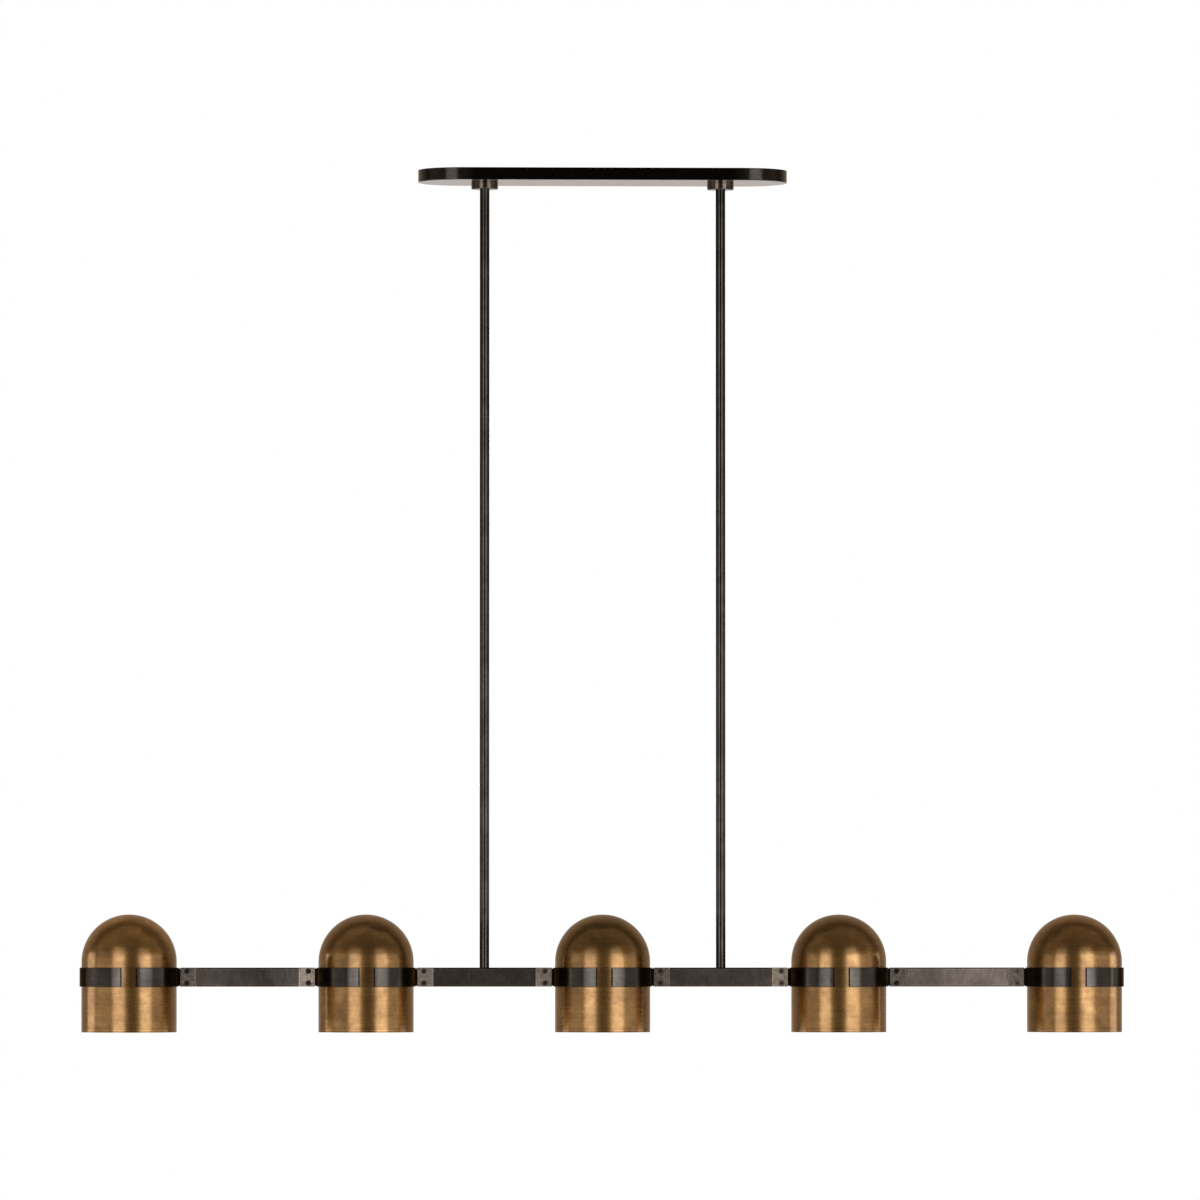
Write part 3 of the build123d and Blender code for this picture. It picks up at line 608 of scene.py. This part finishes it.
def make_socket_screws():
    """On each point a flush screw that faces the front, with a hex socket turned by chance."""
    tree, w, given, result = geometry_group("socket screws", {
        "Head Radius": 0.00375, "Shank Radius": 0.002, "Length": 0.0042, "Rim Bevel": 0.0003,
        "Socket Width": 0.0025, "Socket Depth": 0.0016, "Sides": 48, "Seed": 4})
    head, shank = given["Head Radius"], given["Shank Radius"]
    rim = w.times(given["Rim Bevel"], -1.0)
    cone = w.plus(rim, w.minus(shank, head))
    foot = w.times(given["Length"], -1.0)
    face = w.minus(head, given["Rim Bevel"])
    joined = w.node("GeometryNodeJoinGeometry")
    for low, high, low_radius, high_radius in (
            (rim, 0.0, head, face), (cone, rim, shank, head), (foot, cone, shank, shank)):
        wall = w.node("GeometryNodeMeshCone", {
            "Vertices": given["Sides"], "Radius Bottom": low_radius, "Radius Top": high_radius,
            "Depth": w.minus(high, low)}, fill_type="NONE").outputs[0]
        w.feed(joined.inputs[0], raised(w, wall, low))
    w.feed(joined.inputs[0], disc(w, given["Sides"], face))
    end = w.node("GeometryNodeFlipFaces", {0: disc(w, given["Sides"], shank)}).outputs[0]
    w.feed(joined.inputs[0], raised(w, end, foot))
    # the socket is as wide across its flats as its width says, and the hexagon reaches above the face
    corner = w.math("DIVIDE", given["Socket Width"], math.sqrt(3.0))
    hexagon = w.node("GeometryNodeMeshCylinder", {
        "Vertices": 6, "Radius": corner, "Depth": w.times(given["Socket Depth"], 2.0)}).outputs[0]
    screw = w.node("GeometryNodeMeshBoolean", {
        "Mesh 1": merged(w, joined.outputs[0], 0.000001), "Mesh 2": hexagon},
        operation="DIFFERENCE").outputs[0]
    spin = w.node("FunctionNodeRandomValue", {
        2: 0.0, 3: math.pi / 3.0, "Seed": given["Seed"]}, data_type="FLOAT").outputs[1]
    screws = w.node("GeometryNodeInstanceOnPoints", {
        "Points": given["Geometry"], "Instance": screw}).outputs[0]
    facing = turned(w, screws, (math.pi / 2.0, 0.0, 0.0))
    w.feed(result[0], finished(w, turned(w, facing, w.point(z=spin)), given["Material"]))
    return tree


def make_screw_cap():
    """Turns an outline into a cap with a rolled thread. The outline has its axis distance along X."""
    tree, w, given, result = geometry_group("screw cap", {
        "Centre": (0.0, 0.0, 0.0), "Around": 48, "Along": 160, "Pitch": 0.0036, "Depth": 0.0004,
        "Thread Top": -0.006, "Thread Foot": -0.018, "Bore": 0.0125})
    full_turn = 2.0 * math.pi
    wall = 0.0002               # what lies further out than the bore by this much takes the thread
    fade_turns = 0.7
    outline = w.node("GeometryNodeMeshToCurve", {0: given["Geometry"]}).outputs[0]
    sheet = w.node("GeometryNodeMeshGrid", {
        "Size X": 1.0, "Size Y": 1.0, "Vertices X": w.plus(given["Around"], 1.0),
        "Vertices Y": given["Along"]}).outputs[0]
    on_sheet = w.node("GeometryNodeInputPosition").outputs[0]
    turn = w.times(w.plus(w.axis(on_sheet, "X"), 0.5), full_turn)
    spot = w.node("GeometryNodeSampleCurve", {
        "Curves": outline, "Factor": w.plus(w.axis(on_sheet, "Y"), 0.5)},
        mode="FACTOR", use_all_curves=True).outputs["Position"]
    radius, height = w.axis(spot, "X"), w.axis(spot, "Z")
    phase = w.minus(w.times(w.math("DIVIDE", height, given["Pitch"]), full_turn), turn)
    groove = w.line(w.math("COSINE", phase), -0.5, 0.5)
    top, foot = given["Thread Top"], given["Thread Foot"]
    fade = w.times(given["Pitch"], fade_turns)
    inside = w.times(w.between(height, foot, w.plus(foot, fade)), w.between(height, top, w.minus(top, fade)))
    outer = w.math("GREATER_THAN", radius, w.plus(given["Bore"], wall))
    reach = w.minus(radius, w.times(w.times(groove, inside), w.times(outer, given["Depth"])))
    place = w.point(w.times(reach, w.math("COSINE", turn)), w.times(reach, w.math("SINE", turn)), height)
    shaped = w.node("GeometryNodeSetPosition", {
        "Geometry": sheet, "Position": w.vector("ADD", place, given["Centre"])}).outputs[0]
    outward = w.node("GeometryNodeFlipFaces", {0: merged(w, shaped, 0.000002)}).outputs[0]
    w.feed(result[0], finished(w, outward, given["Material"]))
    return tree


def baked(name, points, edges, tree, material, **values):
    """Runs a geometry group on points and edges, and keeps the result as a plain mesh."""
    start = bpy.data.meshes.new(name)
    start.from_pydata(points, edges, [])
    piece = bpy.data.objects.new(name, start)
    bpy.context.scene.collection.objects.link(piece)
    modifier = piece.modifiers.new(name, "NODES")
    modifier.node_group = tree
    inputs = {item.name: item.identifier for item in tree.interface.items_tree if item.in_out == "INPUT"}
    modifier[inputs["Material"]] = material
    for label, value in values.items():
        modifier[inputs[label.replace("_", " ")]] = value
    graph = bpy.context.evaluated_depsgraph_get()
    result = bpy.data.meshes.new_from_object(piece.evaluated_get(graph), depsgraph=graph)
    result.materials.clear()
    result.materials.append(material)
    result.polygons.foreach_set("material_index", [0] * len(result.polygons))
    piece.modifiers.clear()
    piece.data = result
    return piece


SCREW_APART = 0.003             # the screws lie further apart than this
CAP_TIP_RADIUS = 0.0045
CAP_TIP_HEIGHT = 0.002
CAP_SHOULDER = 0.006
CAP_CORNER = 0.0006             # how much the shoulder's corner is cut
CAP_BORE = 0.01255
CAP_NECK = 0.0082               # the glass neck reaches this far into its cap


def add_joint_screws():
    """The sixteen flush screws on the lugs, with the hex sockets that the solids leave out."""
    heads = solid_boxes("joint_screws", SCREW_APART)
    low, high = heads[0]
    faces = [((head_low[0] + head_high[0]) / 2, head_low[1], (head_low[2] + head_high[2]) / 2)
             for head_low, head_high in heads]
    screws = baked("socket_screws", faces, [], make_socket_screws(), finishes["screw_finish"],
                   Head_Radius=(high[0] - low[0]) / 2, Length=high[1] - low[1])
    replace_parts(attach(screws, "fixture"), "joint_screws")


def add_screw_caps():
    """The bulbs' rolled screw caps, each a thin cup round its glass neck."""
    tree = make_screw_cap()
    for number in SHADES:
        low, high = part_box(f"bulb_base_{number}")
        radius, length = (high[0] - low[0]) / 2, high[2] - low[2]
        profile = [                                         # (axis distance, height)
            (0.0, 0.0), (CAP_TIP_RADIUS * 0.8, 0.0), (CAP_TIP_RADIUS, -CAP_TIP_HEIGHT * 0.5),
            (CAP_TIP_RADIUS, -CAP_TIP_HEIGHT), (radius - CAP_CORNER, -CAP_SHOULDER),
            (radius, -CAP_SHOULDER - CAP_CORNER), (radius, -length), (CAP_BORE, -length),
            (CAP_BORE, CAP_NECK - length), (0.0, CAP_NECK - length)]
        outline = [(distance, 0.0, height) for distance, height in profile]
        edges = [(i, i + 1) for i in range(len(outline) - 1)]
        cap = baked(f"screw_cap_{number}", outline, edges, tree, finishes["bulb_cap"],
                    Centre=(SHADE_XS[number - 1], 0.0, high[2]), Thread_Top=-CAP_SHOULDER, Bore=CAP_BORE,
                    Thread_Foot=CAP_NECK - length)
        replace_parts(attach(cap, f"bulb_{number}"), f"bulb_base_{number}")


add_joint_screws()
add_screw_caps()

# ---------------------------------------------------------------- light, floor and camera
WHITE = (1.0, 1.0, 1.0)
LAMP_COLOUR = (0.98, 1.0, 1.05)
LAMP_Z = BAR_Z - 0.15
FADE_Z = LAMP_Z + 2.1
FRONT_Y = -3.4
SIDE_X = 2.9
DIFFUSER_Y = -1.1
SIDE_LIGHT_Y = 0.6
SIDE_LIGHT_Z = LAMP_Z - 0.14
FLOOR_Z = RIM_Z - 0.95
FLOOR_RADIUS = 3.3
bpy.context.scene.view_settings.view_transform = "Standard"


def softbox(name, centre, width, height, strength, colour=WHITE, facing_y=0.0):
    """A level area lamp that faces the middle. A strength of 1 is as bright as the white background."""
    data = bpy.data.lights.new(name, "AREA")
    data.shape = "RECTANGLE"
    data.size, data.size_y = width, height
    data.energy = strength * width * height * math.pi
    data.color = colour
    lamp = bpy.data.objects.new(name, data)
    bpy.context.scene.collection.objects.link(lamp)
    lamp.location = centre
    lamp.rotation_mode = "QUATERNION"
    direction = Vector((0.0, facing_y, centre[2])) - Vector(centre)
    lamp.rotation_quaternion = direction.to_track_quat("-Z", "Y")
    lamp.visible_camera = False


def studio_world():
    """White where a camera looks or glass lets through. Metal sees a dim room with a paler wall behind it."""
    room_tint = (1.0, 0.87, 0.7)
    # from the camera's side (-1) over the ceiling (0) to the wall behind (1)
    room_levels = [(0.0, 0.11), (0.1, 0.09), (0.28, 0.17), (0.48, 0.28), (0.56, 0.2), (0.61, 0.07),
                   (0.7, 0.16), (0.81, 0.34), (1.0, 0.4)]
    world = bpy.data.worlds.new("studio")
    bpy.context.scene.world = world
    world.use_nodes = True
    world.node_tree.nodes.clear()
    w = Wiring(world.node_tree)
    path = w.node("ShaderNodeLightPath").outputs
    direction = w.node("ShaderNodeTexCoord").outputs["Generated"]
    y, z = w.axis(direction, "Y"), w.axis(direction, "Z")
    room = w.ramp(w.between(y, -1.0, 1.0, smooth=False),
                  [(place, tuple(level * part for part in room_tint)) for place, level in room_levels])
    far_floor = w.times(w.between(y, 0.8, 0.95), w.between(z, 0.0, -0.06))
    room = w.colour(far_floor, room, (0.8, 0.75, 0.725))
    clear = w.math("MAXIMUM", path["Is Camera Ray"], path["Is Transmission Ray"])
    seen = w.colour(path["Is Glossy Ray"], (0.55, 0.55, 0.55), room)
    background = w.node("ShaderNodeBackground", {"Color": w.colour(clear, seen, WHITE)})
    w.node("ShaderNodeOutputWorld", {0: background.outputs[0]})


def studio_floor():
    """A pale round floor that fades into the white background, and that a camera below looks through."""
    sides = 96
    fade_start, fade_end = FLOOR_RADIUS * 0.35, FLOOR_RADIUS * 0.95
    angles = [2 * math.pi * i / sides for i in range(sides)]
    rim = [(FLOOR_RADIUS * math.cos(angle), FLOOR_RADIUS * math.sin(angle), FLOOR_Z) for angle in angles]
    data = bpy.data.meshes.new("floor")
    data.from_pydata(rim, [], [tuple(range(sides))])
    floor = bpy.data.objects.new("floor", data)
    bpy.context.scene.collection.objects.link(floor)
    material = bpy.data.materials.new("pale_floor")
    material.use_nodes = True
    material.node_tree.nodes.clear()
    w = Wiring(material.node_tree)
    distance = w.vector("LENGTH", w.vector("MULTIPLY", w.place(), (1.0, 1.0, 0.0)))
    pale = w.node("ShaderNodeBsdfDiffuse", {"Color": (0.9, 0.9, 0.9)}).outputs[0]
    clear = w.node("ShaderNodeBsdfTransparent").outputs[0]
    below = w.node("ShaderNodeNewGeometry").outputs["Backfacing"]
    hidden = w.math("MAXIMUM", w.between(distance, fade_start, fade_end), below)
    mixed = w.node("ShaderNodeMixShader", {0: hidden, 1: pale, 2: clear}).outputs[0]
    w.node("ShaderNodeOutputMaterial", {0: mixed})
    data.materials.append(material)


studio_world()
studio_floor()
softbox("softbox_left", (-2.15, FRONT_Y, LAMP_Z), width=1.95, height=3.0, strength=2.3,
        colour=LAMP_COLOUR)
softbox("softbox_right", (2.35, FRONT_Y, LAMP_Z), width=2.3, height=3.0, strength=2.5,
        colour=LAMP_COLOUR)
for side, name in ((-1, "left"), (1, "right")):
    softbox(f"softbox_{name}_fade", (side * 2.25, FRONT_Y, FADE_Z), width=2.1, height=1.2, strength=0.6,
            colour=LAMP_COLOUR)
    softbox(f"diffuser_{name}", (side * SIDE_X, DIFFUSER_Y, LAMP_Z), width=1.7, height=2.2, strength=0.5)
    softbox(f"side_light_{name}", (side * SIDE_X, SIDE_LIGHT_Y, SIDE_LIGHT_Z), width=1.1, height=1.72,
            strength=1.75, facing_y=SIDE_LIGHT_Y)

# The photograph: 1200 pixels square, from 13.6 m away and a little left of the front, almost level with
# the shades' rims.
PHOTO_PIXELS = 1200
METRES_PER_PIXEL = 0.001337
CAMERA_DISTANCE = 13.6
CAMERA_LEFT = math.radians(2.15)
CAMERA_ABOVE_RIM = 0.136
PIXEL_FOCUS = CAMERA_DISTANCE / METRES_PER_PIXEL
ROW_MIDDLE_PIXEL = 602.6
HORIZON_PIXEL = 930.2


def photograph_camera():
    """The camera that took the photograph, shifted by tilt and turn as its picture is."""
    data = bpy.data.cameras.new("camera")
    data.sensor_width = 36.0
    data.lens = data.sensor_width * PIXEL_FOCUS / PHOTO_PIXELS
    data.clip_start, data.clip_end = 0.1, 200.0
    camera = bpy.data.objects.new("camera", data)
    bpy.context.scene.collection.objects.link(camera)
    bpy.context.scene.camera = camera
    camera.location = (-CAMERA_DISTANCE * math.sin(CAMERA_LEFT), -CAMERA_DISTANCE * math.cos(CAMERA_LEFT),
                       RIM_Z + CAMERA_ABOVE_RIM)
    tilt = math.atan((HORIZON_PIXEL - PHOTO_PIXELS / 2) / PIXEL_FOCUS)
    turn = math.atan((ROW_MIDDLE_PIXEL - PHOTO_PIXELS / 2) / PIXEL_FOCUS)
    camera.rotation_euler = (math.pi / 2 + tilt, 0.0, turn - CAMERA_LEFT)


photograph_camera()
